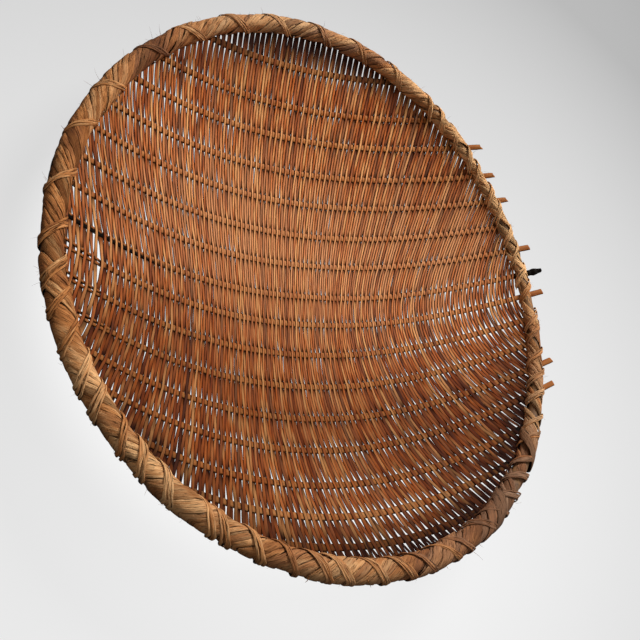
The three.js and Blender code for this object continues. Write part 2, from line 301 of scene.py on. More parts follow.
def patchy(x, y, patches):
    """A sum of soft round bells, each at its own x and y with its own radius and height."""
    return sum(much * np.exp(-((x - at_x) ** 2 + (y - at_y) ** 2) / radius ** 2)
               for at_x, at_y, radius, much in patches)


def painted_rim_shade(x, y):
    """Painted shade along the rim: soft bells by angle, times a ramp that grows towards the rim.

    Under the far rim it lies in a narrower ramp, and a little lies everywhere.
    """
    s = rim_share(x, y)
    angle = np.degrees(np.arctan2(y / RIM_HALF_Y, x / RIM_HALF_X)) % 360
    near = sum(much * np.exp(-((angle - middle) / spread) ** 2) for middle, spread, much in RIM_SHADE_BELLS)
    middle, spread, much = FAR_SHADE
    ramp = np.clip((s - FAR_SHADE_FROM) / FAR_SHADE_GROWS, 0, 1)
    far = much * np.exp(-((angle - middle) / spread) ** 2) * ramp
    ramp = np.clip((s - RIM_SHADE_FROM) / RIM_SHADE_GROWS, 0, 1) ** 1.3
    return ramp * np.clip(near + far + RIM_SHADE_EVERYWHERE, 0, 1)


def by_face(section, deep, dirt_and_shade):
    """Painted shade on both faces of a strip: the upper takes the darkness at deep, the lower at -deep, blended
    between.
    """
    upper = np.clip(0.8 + section[None, :, 1], 0, 1)
    return upper * dirt_and_shade(deep)[:, None] + (1 - upper) * dirt_and_shade(-deep)[:, None]


# Meshes

def loft(rings, closed=False):
    """Joins a row of closed sections into one closed skin, with a ladder of quads over each end.

    Each section runs anticlockwise as seen from the end that the row runs to. A closed row ends where it began.
    """
    count, size, _ = rings.shape
    row = np.arange(count if closed else count - 1)[:, None]
    spot = np.arange(size)[None]
    after = (spot + 1) % size
    following = (row + 1) % count
    sides = np.stack([row * size + spot, row * size + after, following * size + after, following * size + spot],
                     -1).reshape(-1, 4)
    if closed:
        return rings.reshape(-1, 3), sides
    rung = np.arange(size // 2 - 1)
    ladder = np.stack([rung, rung + 1, size - 2 - rung, size - 1 - rung], -1)
    return rings.reshape(-1, 3), np.concatenate([sides, ladder[:, ::-1], ladder + (count - 1) * size])


def run_length(path):
    """How far along a path each of its points lies: the sum of the steps before it."""
    return np.concatenate([[0], np.cumsum(np.linalg.norm(np.diff(path, axis=0), axis=1))])


def section_frames(path, normals):
    """The directions along, across and above a path that lies along a surface with these normals."""
    run = unit(np.gradient(path, axis=0))
    across = unit(np.cross(run, normals))
    return run, across, np.cross(across, run)


def lay_section(path, across, above, half_width, half_thickness, section):
    """A section at each point of a path: its own places times the half width across and half thickness above."""
    return (path[:, None]
            + across[:, None] * (half_width[:, None, None] * section[None, :, :1])
            + above[:, None] * (half_thickness[:, None, None] * section[None, :, 1:]))


class Skin:
    """Gathers the strands of one piece: points, faces and what the material reads along each strand."""

    def __init__(self):
        self.points, self.faces, self.grain = [], [], []
        self.layers = {"tone": [], "soil_and_shade": [], "worn": [], "edge": []}
        self.size = 0

    def add(self, rings, along, across, tone, soil_and_shade, worn=0.0, closed=False):
        """One strand: along and across are millimetres on it, and edge is across as a share of the widest."""
        points, faces = loft(rings, closed)
        count, size, _ = rings.shape
        ones = np.ones((count, size))
        strand = rng.uniform(0, 400)
        self.points.append(points)
        self.faces.append(faces + self.size)
        self.grain.append(np.stack([ones * along[:, None], ones * across, ones * strand], -1).reshape(-1, 3))
        edge = np.abs(across) / np.maximum(np.abs(ones * across).max(axis=1, keepdims=True), 1e-6)
        for label, values in (("tone", tone), ("soil_and_shade", soil_and_shade), ("worn", worn), ("edge", ones * edge)):
            values = np.asarray(values)
            self.layers[label].append((ones * (values if values.ndim == 2 else values.reshape(-1, 1))).ravel())
        self.size += len(points)

    def piece(self, name, material, nodes):
        """Makes the strands one object of the basket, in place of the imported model's nodes."""
        points = np.concatenate(self.points)
        faces = np.concatenate(self.faces)
        mesh = bpy.data.meshes.new(name)
        mesh.vertices.add(len(points))
        mesh.vertices.foreach_set("co", (points * MM).astype(np.float32).ravel())
        mesh.loops.add(faces.size)
        mesh.loops.foreach_set("vertex_index", faces.astype(np.int32).ravel())
        mesh.polygons.add(len(faces))
        mesh.polygons.foreach_set("loop_start", np.arange(0, faces.size, 4, dtype=np.int32))
        mesh.polygons.foreach_set("loop_total", np.full(len(faces), 4, dtype=np.int32))
        mesh.update(calc_edges=True)
        mesh.polygons.foreach_set("use_smooth", np.ones(len(faces), dtype=bool))
        grain = mesh.attributes.new("grain", "FLOAT_VECTOR", "POINT")
        grain.data.foreach_set("vector", np.concatenate(self.grain).astype(np.float32).ravel())
        for label, values in self.layers.items():
            layer = mesh.attributes.new(label, "FLOAT", "POINT")
            layer.data.foreach_set("value", np.concatenate(values).astype(np.float32))
        mesh.materials.append(material)
        thing = bpy.data.objects.new(name, mesh)
        bpy.context.collection.objects.link(thing)
        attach(thing, "root")
        if nodes:
            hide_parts(*nodes)


# Materials

def linear(code):
    """An sRGB hex colour as linear red, green, blue and alpha."""
    parts = [int(code[i:i + 2], 16) / 255 for i in (0, 2, 4)]
    return [c / 12.92 if c <= 0.04045 else ((c + 0.055) / 1.055) ** 2.4 for c in parts] + [1.0]


def node(tree, kind, settings=None, inputs=None, links=None, stops=None):
    """Adds one node: settings are its own properties, inputs its socket values, links its sockets' sources.

    stops are (place, hex) marks for a colour ramp.
    """
    made = tree.nodes.new(kind)
    for key, value in (settings or {}).items():
        setattr(made, key, value)
    for key, value in (inputs or {}).items():
        made.inputs[key].default_value = value
    for key, source in (links or {}).items():
        tree.links.new(source, made.inputs[key])
    for number, (place, code) in enumerate(stops or []):
        marks = made.color_ramp.elements
        mark = marks[number] if number < len(marks) else marks.new(place)
        mark.position = place
        mark.color = linear(code)
    return made


# How fast the fibre lines change along a strip, and the patches of colour across it, per millimetre
FIBRES_ALONG, PATCHES_ACROSS = 0.035, 0.22
# How unevenly the patches let wear and soil show: a gain and a base
UNEVEN_GAIN, UNEVEN_BASE = 0.9, 0.55
# A split: how soon it is fully dark above its level, how dark it is, and how deep next to a fibre line
SPLIT_EDGE, SPLIT_DARK, SPLIT_DEPTH = 0.07, 0.9, 1.5
SOIL_ROUGHENS = 0.4


def strand_material(name, stops, soil_and_shade_colour, wear_and_sheen_colour, roughness, fibre_mm, fleck_mm, bump_mm, gloss, shares, edge_shade,
                    cracks):
    """Plant strip: colours run along the fibres, darker fine lines between, with soiling and painted shade over
    them.

    fibre_mm is the width of one fibre line, fleck_mm the length of a patch of colour along the strip. shares gives
    the parts that the strand's own tone, the patches and the fibre lines play in the colour. seam says from which
    share of the half width the painted shade in the strip's edges starts, and how dark it gets. The pale colour is
    mostly painted sheen on the bamboo and grey weathering on the bast. cracks are short dark splits along the
    fibres: their width and length in millimetres, and the noise level above which they open. roughness is its least
    value and how much the fibres add.
    """
    made = bpy.data.materials.new(name)
    made.use_nodes = True
    tree = made.node_tree
    shader = tree.nodes["Principled BSDF"]
    grain, tone, soil_and_shade, worn, edge = (
        node(tree, "ShaderNodeAttribute", {"attribute_name": layer}).outputs["Vector" if layer == "grain" else "Fac"]
        for layer in ("grain", "tone", "soil_and_shade", "worn", "edge"))
    split_width, split_length, split_level = cracks
    noises = []
    for scale, detail in (((FIBRES_ALONG, 1 / fibre_mm, 1.0), 3.0), ((1 / fleck_mm, PATCHES_ACROSS, 1.0), 2.0),
                          ((1 / split_length, 1 / split_width, 1.0), 1.0)):
        place = node(tree, "ShaderNodeMapping", inputs={"Scale": scale}, links={"Vector": grain}).outputs["Vector"]
        noises.append(node(tree, "ShaderNodeTexNoise", inputs={"Scale": 1.0, "Detail": detail, "Roughness": 0.6},
                           links={"Vector": place}).outputs["Fac"])
    fibres, patches, splits = noises

    # The strip's own colour: tone, patches and fibre lines, each by its share
    own, patch, line = shares
    mix = node(tree, "ShaderNodeMath", {"operation": "MULTIPLY_ADD"}, {1: own, 2: 0.5 * (1 - own - patch - line)},
               {0: tone}).outputs[0]
    mix = node(tree, "ShaderNodeMath", {"operation": "MULTIPLY_ADD"}, {1: patch}, {0: patches, 2: mix}).outputs[0]
    mix = node(tree, "ShaderNodeMath", {"operation": "MULTIPLY_ADD"}, {1: line}, {0: fibres, 2: mix}).outputs[0]
    colour = node(tree, "ShaderNodeValToRGB", links={"Fac": mix}, stops=stops).outputs["Color"]

    # Over it the pale places, painted sheen on the bamboo and weathering on the bast, and then the soiling and
    # painted shade, the painted shade in the edges and the splits, whichever is darkest
    uneven = node(tree, "ShaderNodeMath", {"operation": "MULTIPLY_ADD"}, {1: UNEVEN_GAIN, 2: UNEVEN_BASE},
                  {0: patches}).outputs[0]
    pale = node(tree, "ShaderNodeMath", {"operation": "MULTIPLY", "use_clamp": True},
                links={0: worn, 1: uneven}).outputs[0]
    colour = node(tree, "ShaderNodeMix", {"data_type": "RGBA"}, {7: linear(wear_and_sheen_colour)},
                  {0: pale, 6: colour}).outputs[2]
    dirt_and_shade = node(tree, "ShaderNodeMath", {"operation": "MULTIPLY", "use_clamp": True},
                links={0: soil_and_shade, 1: uneven}).outputs[0]
    dark_edge = node(tree, "ShaderNodeMapRange", {"interpolation_type": "SMOOTHSTEP"},
                     {"From Min": edge_shade[0], "From Max": 1.0, "To Max": edge_shade[1]}, {"Value": edge}).outputs[0]
    split = node(tree, "ShaderNodeMapRange", {"interpolation_type": "SMOOTHSTEP"},
                 {"From Min": split_level, "From Max": split_level + SPLIT_EDGE, "To Max": SPLIT_DARK},
                 {"Value": splits}).outputs[0]
    for other in (dark_edge, split):
        dirt_and_shade = node(tree, "ShaderNodeMath", {"operation": "MAXIMUM"}, links={0: dirt_and_shade, 1: other}).outputs[0]
    colour = node(tree, "ShaderNodeMix", {"data_type": "RGBA"}, {7: linear(soil_and_shade_colour)},
                  {0: dirt_and_shade, 6: colour}).outputs[2]
    tree.links.new(colour, shader.inputs["Base Color"])

    # Fibres and soil make it rougher, and fibres and splits give it relief
    rough = node(tree, "ShaderNodeMath", {"operation": "MULTIPLY_ADD"}, {1: roughness[1], 2: roughness[0]},
                 {0: fibres}).outputs[0]
    rough = node(tree, "ShaderNodeMath", {"operation": "MULTIPLY_ADD", "use_clamp": True}, {1: SOIL_ROUGHENS},
                 {0: dirt_and_shade, 2: rough}).outputs[0]
    tree.links.new(rough, shader.inputs["Roughness"])
    shader.inputs["Specular IOR Level"].default_value = gloss
    height = node(tree, "ShaderNodeMath", {"operation": "MULTIPLY_ADD"}, {1: -SPLIT_DEPTH},
                  {0: split, 2: fibres}).outputs[0]
    bump = node(tree, "ShaderNodeBump", inputs={"Strength": 1.0, "Distance": bump_mm * MM},
                links={"Height": height})
    tree.links.new(bump.outputs["Normal"], shader.inputs["Normal"])
    return made


# Split bamboo from the skin side, smoked for years: amber to red-brown, with a soft gloss, and a pale painted sheen.
# Its edges darken from the middle out with painted shade, where the strips lie close
split_bamboo = strand_material(
    "split_bamboo_aged", [(0.34, "4A1802"), (0.44, "9C420A"), (0.53, "D46A20"), (0.62, "FFB26A")],
    soil_and_shade_colour="200700", wear_and_sheen_colour="EA9E66", roughness=(0.4, 0.2), fibre_mm=0.4, fleck_mm=22.0, bump_mm=0.1, gloss=0.12,
    shares=(0.38, 0.34, 0.28), edge_shade=(0.0, 1.0), cracks=(0.5, 12.0, 0.7))

# Wider split bamboo for the stakes: the same culm, cut flat, a little duller, near-black with dirt, charring and
# painted shade, and pale with painted sheen
stake_bamboo = strand_material(
    "split_bamboo_stake", [(0.3, "6E2E08"), (0.44, "9A501A"), (0.56, "B87034"), (0.72, "DC9C62")],
    soil_and_shade_colour="0A0401", wear_and_sheen_colour="CC8450", roughness=(0.45, 0.2), fibre_mm=0.6, fleck_mm=24.0, bump_mm=0.12, gloss=0.12,
    shares=(0.4, 0.3, 0.3), edge_shade=(0.7, 0.85), cracks=(0.4, 9.0, 0.72))

# Bast: the inner bark of a vine, dried flat, matte, with long pale and dark fibres and short splits. Painted shade
# darkens its edges and its underside
bast = strand_material(
    "vine_bast", [(0.28, "3E1C0A"), (0.41, "8C5026"), (0.54, "C67E42"), (0.71, "FFC688")],
    soil_and_shade_colour="160903", wear_and_sheen_colour="A27C60", roughness=(0.6, 0.2), fibre_mm=0.45, fleck_mm=12.0, bump_mm=0.7, gloss=0.1,
    shares=(0.3, 0.3, 0.4), edge_shade=(0.8, 0.8), cracks=(0.6, 8.0, 0.62))

# Bamboo split in half for the hoops inside the rim: dull, in soft blotches, because nobody rubs it
hoop_bamboo = bpy.data.materials.new("half_round_bamboo")
hoop_bamboo.use_nodes = True
hoop_tree = hoop_bamboo.node_tree
hoop_place = node(hoop_tree, "ShaderNodeTexCoord").outputs["Object"]
hoop_noise = node(hoop_tree, "ShaderNodeTexNoise", inputs={"Scale": 1 / (6 * MM), "Detail": 3.0},
                  links={"Vector": hoop_place}).outputs["Fac"]
hoop_colour = node(hoop_tree, "ShaderNodeValToRGB", links={"Fac": hoop_noise},
                   stops=[(0.3, "4E3218"), (0.7, "8C6236")]).outputs["Color"]
hoop_shader = hoop_tree.nodes["Principled BSDF"]
hoop_tree.links.new(hoop_colour, hoop_shader.inputs["Base Color"])
hoop_shader.inputs["Roughness"].default_value = 0.75


# Weavers

def weaver_places():
    """Where the weavers cross the middle: steps of the local pitch, each a little off."""
    places = [-RIM_HALF_X + OUTER_WEAVER]
    while places[-1] < RIM_HALF_X - OUTER_WEAVER:
        places.append(places[-1] + np.interp(places[-1], PITCH_PLACES, PITCHES) * rng.uniform(0.93, 1.07))
    return np.array(places[1:-1])


def reach(place, way):
    """How far along Y a weaver runs before it is in the middle of the rim roll."""
    y = way * np.linspace(0, 1.06 * RIM_HALF_Y, 500)
    outside = np.nonzero(rim_share(weaver_line(place, y), y) > WEAVER_ENDS)[0]
    return y[outside[0] if len(outside) else -1]


def crossings(places):
    """Where each weaver meets each stake, by going to and fro between the two lines."""
    y = stake_line(STAKE_PLACES[None], places[:, None] + 0 * STAKE_PLACES[None])
    for _ in range(40):
        y = stake_line(STAKE_PLACES[None], weaver_line(places[:, None], y))
    return y


def band_of(place):
    """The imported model's band for a weaver: the mean of where band lines through its points cross the middle."""
    y = np.linspace(reach(place, -1), reach(place, 1), 60)
    x = weaver_line(place, y)
    middle = x.copy()
    for _ in range(60):
        middle += 0.7 * (x - weaver_line(middle, y, BAND_LEAN_FAN_CURL, NO_BOWS, NO_HOOKS))
    half = RIM_HALF_X - WALL_REACH
    return int(np.clip((middle.mean() + half) / (2 * half) * BAND_COUNT, 0, BAND_COUNT - 1))


def weaver_way(number, meets, low, high):
    """A weaver's samples along Y, with its lift there and its sway, from minus one under a stake to one over it.

    The lift is a soft bell over each crossing, up and down in turn, and none halfway or at the rim. The sway is a
    longer bell. The samples crowd at the crossings by a sine.
    """
    inside = (meets > low + LAST_CROSSING) & (meets < high - LAST_CROSSING)
    signs = np.where((number + np.arange(len(meets))) % 2 == 0, -1.0, 1.0)
    knots = np.concatenate([[low], meets[inside][::-1], [high]])
    lifts = np.concatenate([[0], (signs[inside] * WEAVER_RISE)[::-1], [0]])
    steps = np.linspace(0, len(knots) - 1, (len(knots) - 1) * SAMPLES_PER_SPAN + 1)
    y = np.interp(steps - SAMPLE_CROWDING * np.sin(2 * math.pi * steps), np.arange(len(knots)), knots)
    away = y[:, None] - knots[None]
    lift = (lifts[None] * np.exp(-(away / WEAVER_BEND) ** 2)).sum(axis=1)
    sway = (lifts[None] * np.exp(-(away / SWAY_LENGTH) ** 2)).sum(axis=1) / WEAVER_RISE
    return y, lift, sway


def add_weaver(skin, number, place, meets, pitch):
    """One weaver: a flattened round laid along its line on the wall, lifted over and under the stakes in turn.

    Its X is its line plus a wander, half the loose gap by its side of it, the slide with its lift, and the lean of
    its ends, which fades as an exponential. Its width is the room to its neighbours times a share: WIDTH_BETWEEN
    halfway between two stakes, and towards a crossing ever nearer to WIDTH_OVER, or to WIDTH_UNDER less the slack.
    """
    low, high = reach(place, -1), reach(place, 1)
    y, lift, sway = weaver_way(number, meets, low, high)
    from_end = np.minimum(y - low, high - y)
    side = 1 if number % 2 else -1
    pinch = side * END_PAIRING * pitch * np.exp(-from_end / END_PAIRING_LENGTH)
    pinch = pinch * (1 - patchy(weaver_line(place, high), high, SNUG))
    aside = place - LOOSE_PLACE
    apart = LOOSE_GAP / 2 * np.tanh(aside / 2) * np.exp(-(aside / LOOSE_FADE) ** 2)
    apart = apart * np.exp(-((y - LOOSE_MIDDLE) / LOOSE_LENGTH) ** 4)
    slide = SLIDE * pitch * lift / WEAVER_RISE
    x = weaver_line(place, y) + wobble(y, LINE_WANDER * pitch, LINE_WAVE) + pinch + apart + slide
    path = wall_point(x, y, lift)
    _, across, above = section_frames(path, wall_normal(x, y))

    spread = weaver_line(place + 0.5, y) - weaver_line(place - 0.5, y)
    room = pitch * spread / np.hypot(1, np.gradient(x, y))
    bent = np.clip(np.abs(lift) / WEAVER_RISE, 0, 1)
    squeezed = np.maximum(WIDTH_UNDER - 2 * patchy(x, y, SLACK), 0.5)
    crossing = np.where(lift > 0, WIDTH_OVER, squeezed) * rng.uniform(0.94, 1.06)
    share = WIDTH_BETWEEN + (crossing - WIDTH_BETWEEN) * bent
    width = np.minimum(room * share, WIDEST_WEAVER) + wobble(y, *WIDTH_WANDER)
    width = width * (1 - END_NARROWS * np.exp(-from_end / END_NARROWS_LENGTH))
    twist = wobble(y, *TWIST_WANDER)
    turned = across * np.cos(twist)[:, None] + above * np.sin(twist)[:, None]
    raised = above * np.cos(twist)[:, None] - across * np.sin(twist)[:, None]
    rings = lay_section(path, turned, raised, width / 2, np.full(len(y), WEAVER_THICKNESS / 2), ROUND)
    rings[..., 2] = np.maximum(rings[..., 2], 0.02)

    # Paler where it goes over a stake unless in a patch of painted shade, and a few weavers are paler as a whole
    patch_shade = patchy(x, y, SHADE_PATCHES)
    tone = np.clip(rng.normal(0.5, 0.15), 0.1, 0.95) + wobble(y, *TONE_WANDER)
    tone = tone + 0.16 * sway * (1 - 1.5 * np.clip(patch_shade, 0, 0.66))
    tone = tone + (0.25 if rng.random() < 0.06 else 0.0)
    # Painted shade under a stake, on the face that the stake covers
    shade = by_face(ROUND, -lift / WEAVER_RISE, lambda deep: 0.85 * np.clip(deep, 0, 1) ** 0.7)
    # Painted shade by the rim and in the shade patches, with the painted shade under the stakes
    unshaded = (1 - painted_rim_shade(x, y)) * (1 - np.clip(patch_shade, 0, 0.8))
    soil_and_shade = 1 - unshaded[:, None] * (1 - shade)
    # Painted sheen in patches, and a little wear at random
    worn = patchy(x, y, SHEEN_PATCHES) * rng.uniform(0.2, 1.2) + abs(rng.normal(0, 0.16))
    skin.add(rings, run_length(path), width[:, None] / 2 * ROUND[None, :, 0], tone, soil_and_shade, worn)


def make_weavers(places, meets):
    """The weavers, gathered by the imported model's bands: each band is one piece."""
    pitches = np.interp(places, PITCH_PLACES, PITCHES)
    bands = np.array([band_of(place) for place in places])
    for band in range(BAND_COUNT):
        skin = Skin()
        for number in np.nonzero(bands == band)[0]:
            add_weaver(skin, number, places[number], meets[number], pitches[number])
        skin.piece("weavers_%02d" % (band + 1), split_bamboo, ["weaver_band_%02d" % (band + 1)])


# Stakes

def stake_end(place, way, beyond):
    """Where a stake has passed the middle of the rim roll by a length, by halving the interval."""
    near, far = 0.0, way * 2 * RIM_HALF_X
    for _ in range(40):
        x = (near + far) / 2
        if rim_share(x, stake_line(place, x)) < 1 + beyond / RIM_HALF_X:
            near = x
        else:
            far = x
    return near


def add_stake(skin, number, start, end, width, dips, side=0):
    """One flat slat laid along a stake's line, with slightly wandering edges.

    dips is one where a weaver goes over it and minus one where a weaver goes under. It bends down and up with the
    sine of that. A forked stake's halves lie on the sides -1 and 1 of its line, and the way between them closes
    with a power of the way along. A stub is thicker, and its end is cut askew and narrower. The charred stake is
    black and lumpy at its right end, by two sines, and on the left it has a painted shadow, darkest along one edge.
    """
    place = STAKE_PLACES[number - 1]
    x = np.linspace(start, end, max(STAKE_FEWEST_STEPS, int((end - start) / STAKE_STEP)))
    closing = np.clip(1 - (x - start) / FORK_LENGTH, 0, 1) ** 1.2
    y = stake_line(place, x) + side * (STAKE_WIDTH / 5 + FORKED_STAKES.get(number, 0) * closing)
    out = rim_share(x, y)
    dip = np.sin(math.pi / 2 * np.interp(x, *dips)) * np.clip((1 - out) / 0.05, 0, 1)
    path = wall_point(x, y, -STAKE_DIP * dip)
    run, across, above = section_frames(path, wall_normal(x, y))
    half = width / 2 * np.interp(x, *STAKE_NARROWS) + wobble(x, *EDGE_WANDER)
    thick = STAKE_THICKNESS / 2 * (1 + STUB_SWELL * np.clip((out - 1) / 0.02, 0, 1))
    black = np.zeros_like(x)
    if number == CHARRED_STAKE:
        burn = np.clip((x - (end - BURNT_END)) / BURN_SETS_IN, 0, 1)
        mean, height, often = WIDE_LUMPS
        half = half * (1 + burn * (mean + height * np.sin(x * often)))
        mean, height, often = THICK_LUMPS
        thick = thick * (1 + burn * (mean + height * np.sin(x * often)))
        black = np.maximum(burn, np.interp(x, *LEFT_PAINTED_SHADOW))
    _, ahead, share = STUBS[number] if number in STUBS and end > 0 else (0.0, 0.0, 1.0)
    half = half * np.interp(end - x, [0, STUB_TAPER], [share, 1])
    rings = lay_section(path, across, above, half, thick, SLAT)
    rings[-1] += run[-1] * (ahead / 2 * SLAT[:, :1])

    tone = 0.55 + rng.normal(0, 0.08) + wobble(x, *STAKE_TONE_WANDER)
    # Painted shade by the rim and in the shade patches, soil on the stubs, then painted shade beside the weavers
    # that it dips under, then the charring at the right end and a painted shadow on the left, blackest along one
    # edge
    stake_patch_shade = np.clip(patchy(x, y, SHADE_PATCHES), 0, 0.7) * (out < 1.02)
    soil_and_shade = np.maximum(np.where(out > 1.02, 0.25, 0.9 * painted_rim_shade(x, y)), 0.7 * stake_patch_shade)[:, None]
    beside = by_face(SLAT, dip, lambda deep: 0.9 * np.clip(0.8 + deep, 0, 1) * (out < 0.99))
    soil_and_shade = 1 - (1 - np.clip(soil_and_shade, 0, 1)) * (1 - beside)
    # Where it is black: all across the burnt right end, and on the left a painted shadow along one edge
    charred = np.where(x > 0, 1.0, 0)[:, None] + np.clip(0.45 + 0.9 * SLAT[None, :, 0], 0, 1)
    soil_and_shade = np.maximum(soil_and_shade, 1.7 * black[:, None] * charred)
    # The pale mix is painted sheen in patches
    skin.add(rings, run_length(path), half[:, None] * SLAT[None, :, 0], tone, soil_and_shade, patchy(x, y, SHEEN_PATCHES))


def make_stakes(places, meets):
    """The stakes, each one piece from the middle of the rim roll at the left to its end at the right."""
    for number, place in enumerate(STAKE_PLACES, 1):
        over = np.where((np.arange(len(places)) + number - 1) % 2 == 0, -1.0, 1.0)
        dips = (weaver_line(places, meets[:, number - 1]), over)
        beyond = BINDING_CREST + STUBS[number][0] if number in STUBS else 0.0
        start, end = stake_end(place, -1, 0.0), stake_end(place, 1, beyond)
        skin = Skin()
        whole_from = start
        if number in FORKED_STAKES:
            whole_from = start + 0.8 * FORK_LENGTH
            for side in (-1, 1):
                add_stake(skin, number, start, whole_from + 3, STAKE_WIDTH / 2, dips, side)
        add_stake(skin, number, whole_from, end, STAKE_WIDTH, dips)
        skin.piece("stake_strip_%02d" % number, stake_bamboo, ["stake_%02d" % number])


# Rim

def add_strip(skin, base, lead, back, half, radius, tip, tone, soil_and_shade):
    """One strip of bast, once round the rim roll: in from the weave, over the top, out and back under.

    Its middle moves along the rim by lead over the seen half of the turn and by back over the hidden half. tip
    raises its leading edge over its neighbour, and its width, lift and lean wander by a little. At its start half a
    bell lifts or sinks it.
    """
    share = np.linspace(0, 2, STRIP_SAMPLES)
    turn = math.pi * (1 - share)
    run = share * HALF_TURN
    glide = np.where(share < 1, lead * (share - 0.5), lead / 2 + back * (share - 1))
    middle = base + (glide + wobble(run, *MIDDLE_WANDER)) * ARC
    widths = half * (1 + wobble(run, *SHARE_WANDER))
    lean = tip + wobble(run, *LEAN_WANDER)
    lift = radius + wobble(run, *LIFT_WANDER) + rng.uniform(-0.3, 1.5) * np.exp(-(share / 0.22) ** 2)
    angle = middle[:, None] + widths[:, None] * STRIP[None, :, 0] * ARC
    depth = lift[:, None] + STRIP_THICKNESS * STRIP[None, :, 1] + lean[:, None] * STRIP[None, :, 0]
    rings = rim_point(angle, depth, turn[:, None] + 0 * angle)

    # Painted shade on the underside, and tone, painted light and shade and greyness go by the place round the rim
    under = np.clip(0.35 * np.cos(turn) - np.sin(turn), 0, 1)
    degrees = np.degrees(middle) % 360
    tone = tone + wobble(run, *STRIP_TONE_WANDER) + np.interp(degrees, *RIM_TONE_AND_LIGHT)
    grey = np.interp(degrees, *RIM_GREYS) * rng.uniform(0.4, 1.3)
    skin.add(rings, run_length(rings.mean(axis=1)), widths[:, None] * STRIP[None, :, 0], tone,
             np.clip(soil_and_shade + 0.85 * under, 0, 1), grey)


def add_wide_turn(skin, base, pitch, girth, tone, worn):
    """A wide turn of bast that has split along its fibres into a few ribbons, each lying a little over the next.

    On the worn side of the rim the ribbons lie more unevenly, some are dirty, and one in eight is gone.
    """
    count = rng.integers(2, 5)
    lead = -pitch * rng.uniform(1.15, 1.5)
    cuts = np.sort(rng.uniform(-1, 1, count - 1) * 0.2 + np.linspace(-1, 1, count + 1)[1:-1]) * pitch * 0.56
    cuts = np.concatenate([[-pitch * WIDE_HALF], cuts, [pitch * WIDE_HALF]])
    swell = rng.uniform(-0.6, 0.6) * (2 if worn else 1.2)
    for left, right in zip(cuts[:-1], cuts[1:]):
        if worn and rng.random() < 0.12:
            continue
        half = (right - left) / 2 * rng.uniform(1.0, 1.2)
        add_strip(skin, base + (left + right) / 2 * ARC, lead + rng.normal(0, 1.2), -pitch - lead, half,
                  girth * ROLL_RADIUS + swell + rng.uniform(-0.15, 0.15) * (4 if worn else 1),
                  rng.uniform(-0.1, 0.25), tone + rng.normal(0, 0.12),
                  max(0.0, rng.normal(0.15 if worn else 0.0, 0.2)))


def add_narrow_turn(skin, base, pitch, girth, tone, worn):
    """A narrow turn that crosses the wide ones: three or four thin strips side by side."""
    count = rng.integers(3, 5)
    lead = pitch * rng.uniform(0.85, 1.1)
    for step in range(count):
        place = (step - (count - 1) / 2) * rng.uniform(1.6, 2.0)
        add_strip(skin, base + place * ARC, lead + rng.normal(0, 1.2), pitch - lead, rng.uniform(0.9, 1.25),
                  girth * ROLL_RADIUS + (NARROW_LIFT_WORN if worn else NARROW_LIFT) + rng.uniform(-0.1, 0.15),
                  rng.uniform(-0.15, 0.15), tone + rng.normal(0.06, 0.1), max(0.0, rng.normal(0.0, 0.15)))


def make_rim():
    """The binding, a piece to each length of bast: wide turns one way, narrow ones the other.

    The right side of the rim is worn. At the far left every other narrow turn has gone.
    """
    per_length = TURN_COUNT // BINDING_COUNT
    step = 2 * math.pi / TURN_COUNT
    pitch = step / ARC
    for length in range(BINDING_COUNT):
        skin = Skin()
        for number in range(length * per_length, (length + 1) * per_length):
            base = (number + 0.5) * step
            girth = rim_girth(base)
            tone = np.clip(rng.normal(0.5, 0.15), 0.1, 0.9)
            worn = math.cos(base) > 0.5
            add_wide_turn(skin, base + rng.normal(0, 0.06) * step, pitch, girth, tone, worn)
            if not (math.pi / 3 < base < math.pi and number % 2):
                add_narrow_turn(skin, base + rng.normal(0, 0.12) * step, pitch, girth, tone, worn)
        skin.piece("rim_wrap_%d" % (length + 1), bast, ["rim_binding_%d" % (length + 1)])


def make_hoops():
    """Two half rounds, one above the wall's edge and one below: half circles flattened to leave the wall's slot.

    They follow the roll's girth.
    """
    angle = np.linspace(0, 2 * math.pi, 361)[:-1]
    bend = np.linspace(0, math.pi, 8)
    for name, side in (("inner", 1), ("outer", -1)):
        around = np.cos(bend)
        height = SLOT_HALF / HOOP_RADIUS + np.sin(bend) * (1 - SLOT_HALF / HOOP_RADIUS)
        radius = np.hypot(around, height) * HOOP_RADIUS
        turn = np.arctan2(side * height, around)
        rings = rim_point(angle[:, None] + 0 * turn[None], rim_girth(angle)[:, None] * radius[None],
                          turn[None] + 0 * angle[:, None])
        rings = rings[:, ::-1] if side > 0 else rings
        skin = Skin()
        skin.add(rings, angle / ARC, around * HOOP_RADIUS, 0.4, 0.3, closed=True)
        skin.piece("rim_half_round_" + name, hoop_bamboo, ["rim_hoop_" + name])


# Loose fibres

def add_fibre(skin, angle, turn, length, thick, lean, curl):
    """A hair that leaves the wrap outwards and bends along the rim: a tapering four-sided strand.

    It runs along the rim by lean times its share plus curl times the square, and rises by what lean leaves over.
    """
    share = np.linspace(0, 1, FIBRE_SAMPLES)
    along = length * (lean * share + curl * share ** 2)
    rise = length * np.sqrt(np.clip(1 - lean ** 2, 0.05, 1)) * share * (1 - 0.4 * abs(curl) * share)
    path = rim_point(angle + along * ARC, FIBRE_FOOT * rim_girth(angle) + rise, turn + 0.25 * curl * share)
    _, across, above = section_frames(path, np.tile(FIBRE_UP, (FIBRE_SAMPLES, 1)))
    half = thick / 2 * (1 - 0.75 * share)
    rings = lay_section(path, across, above, half, half, SQUARE)
    skin.add(rings, run_length(path), half[:, None] * SQUARE[None, :, 0], rng.uniform(0.1, 0.7), 0.5)


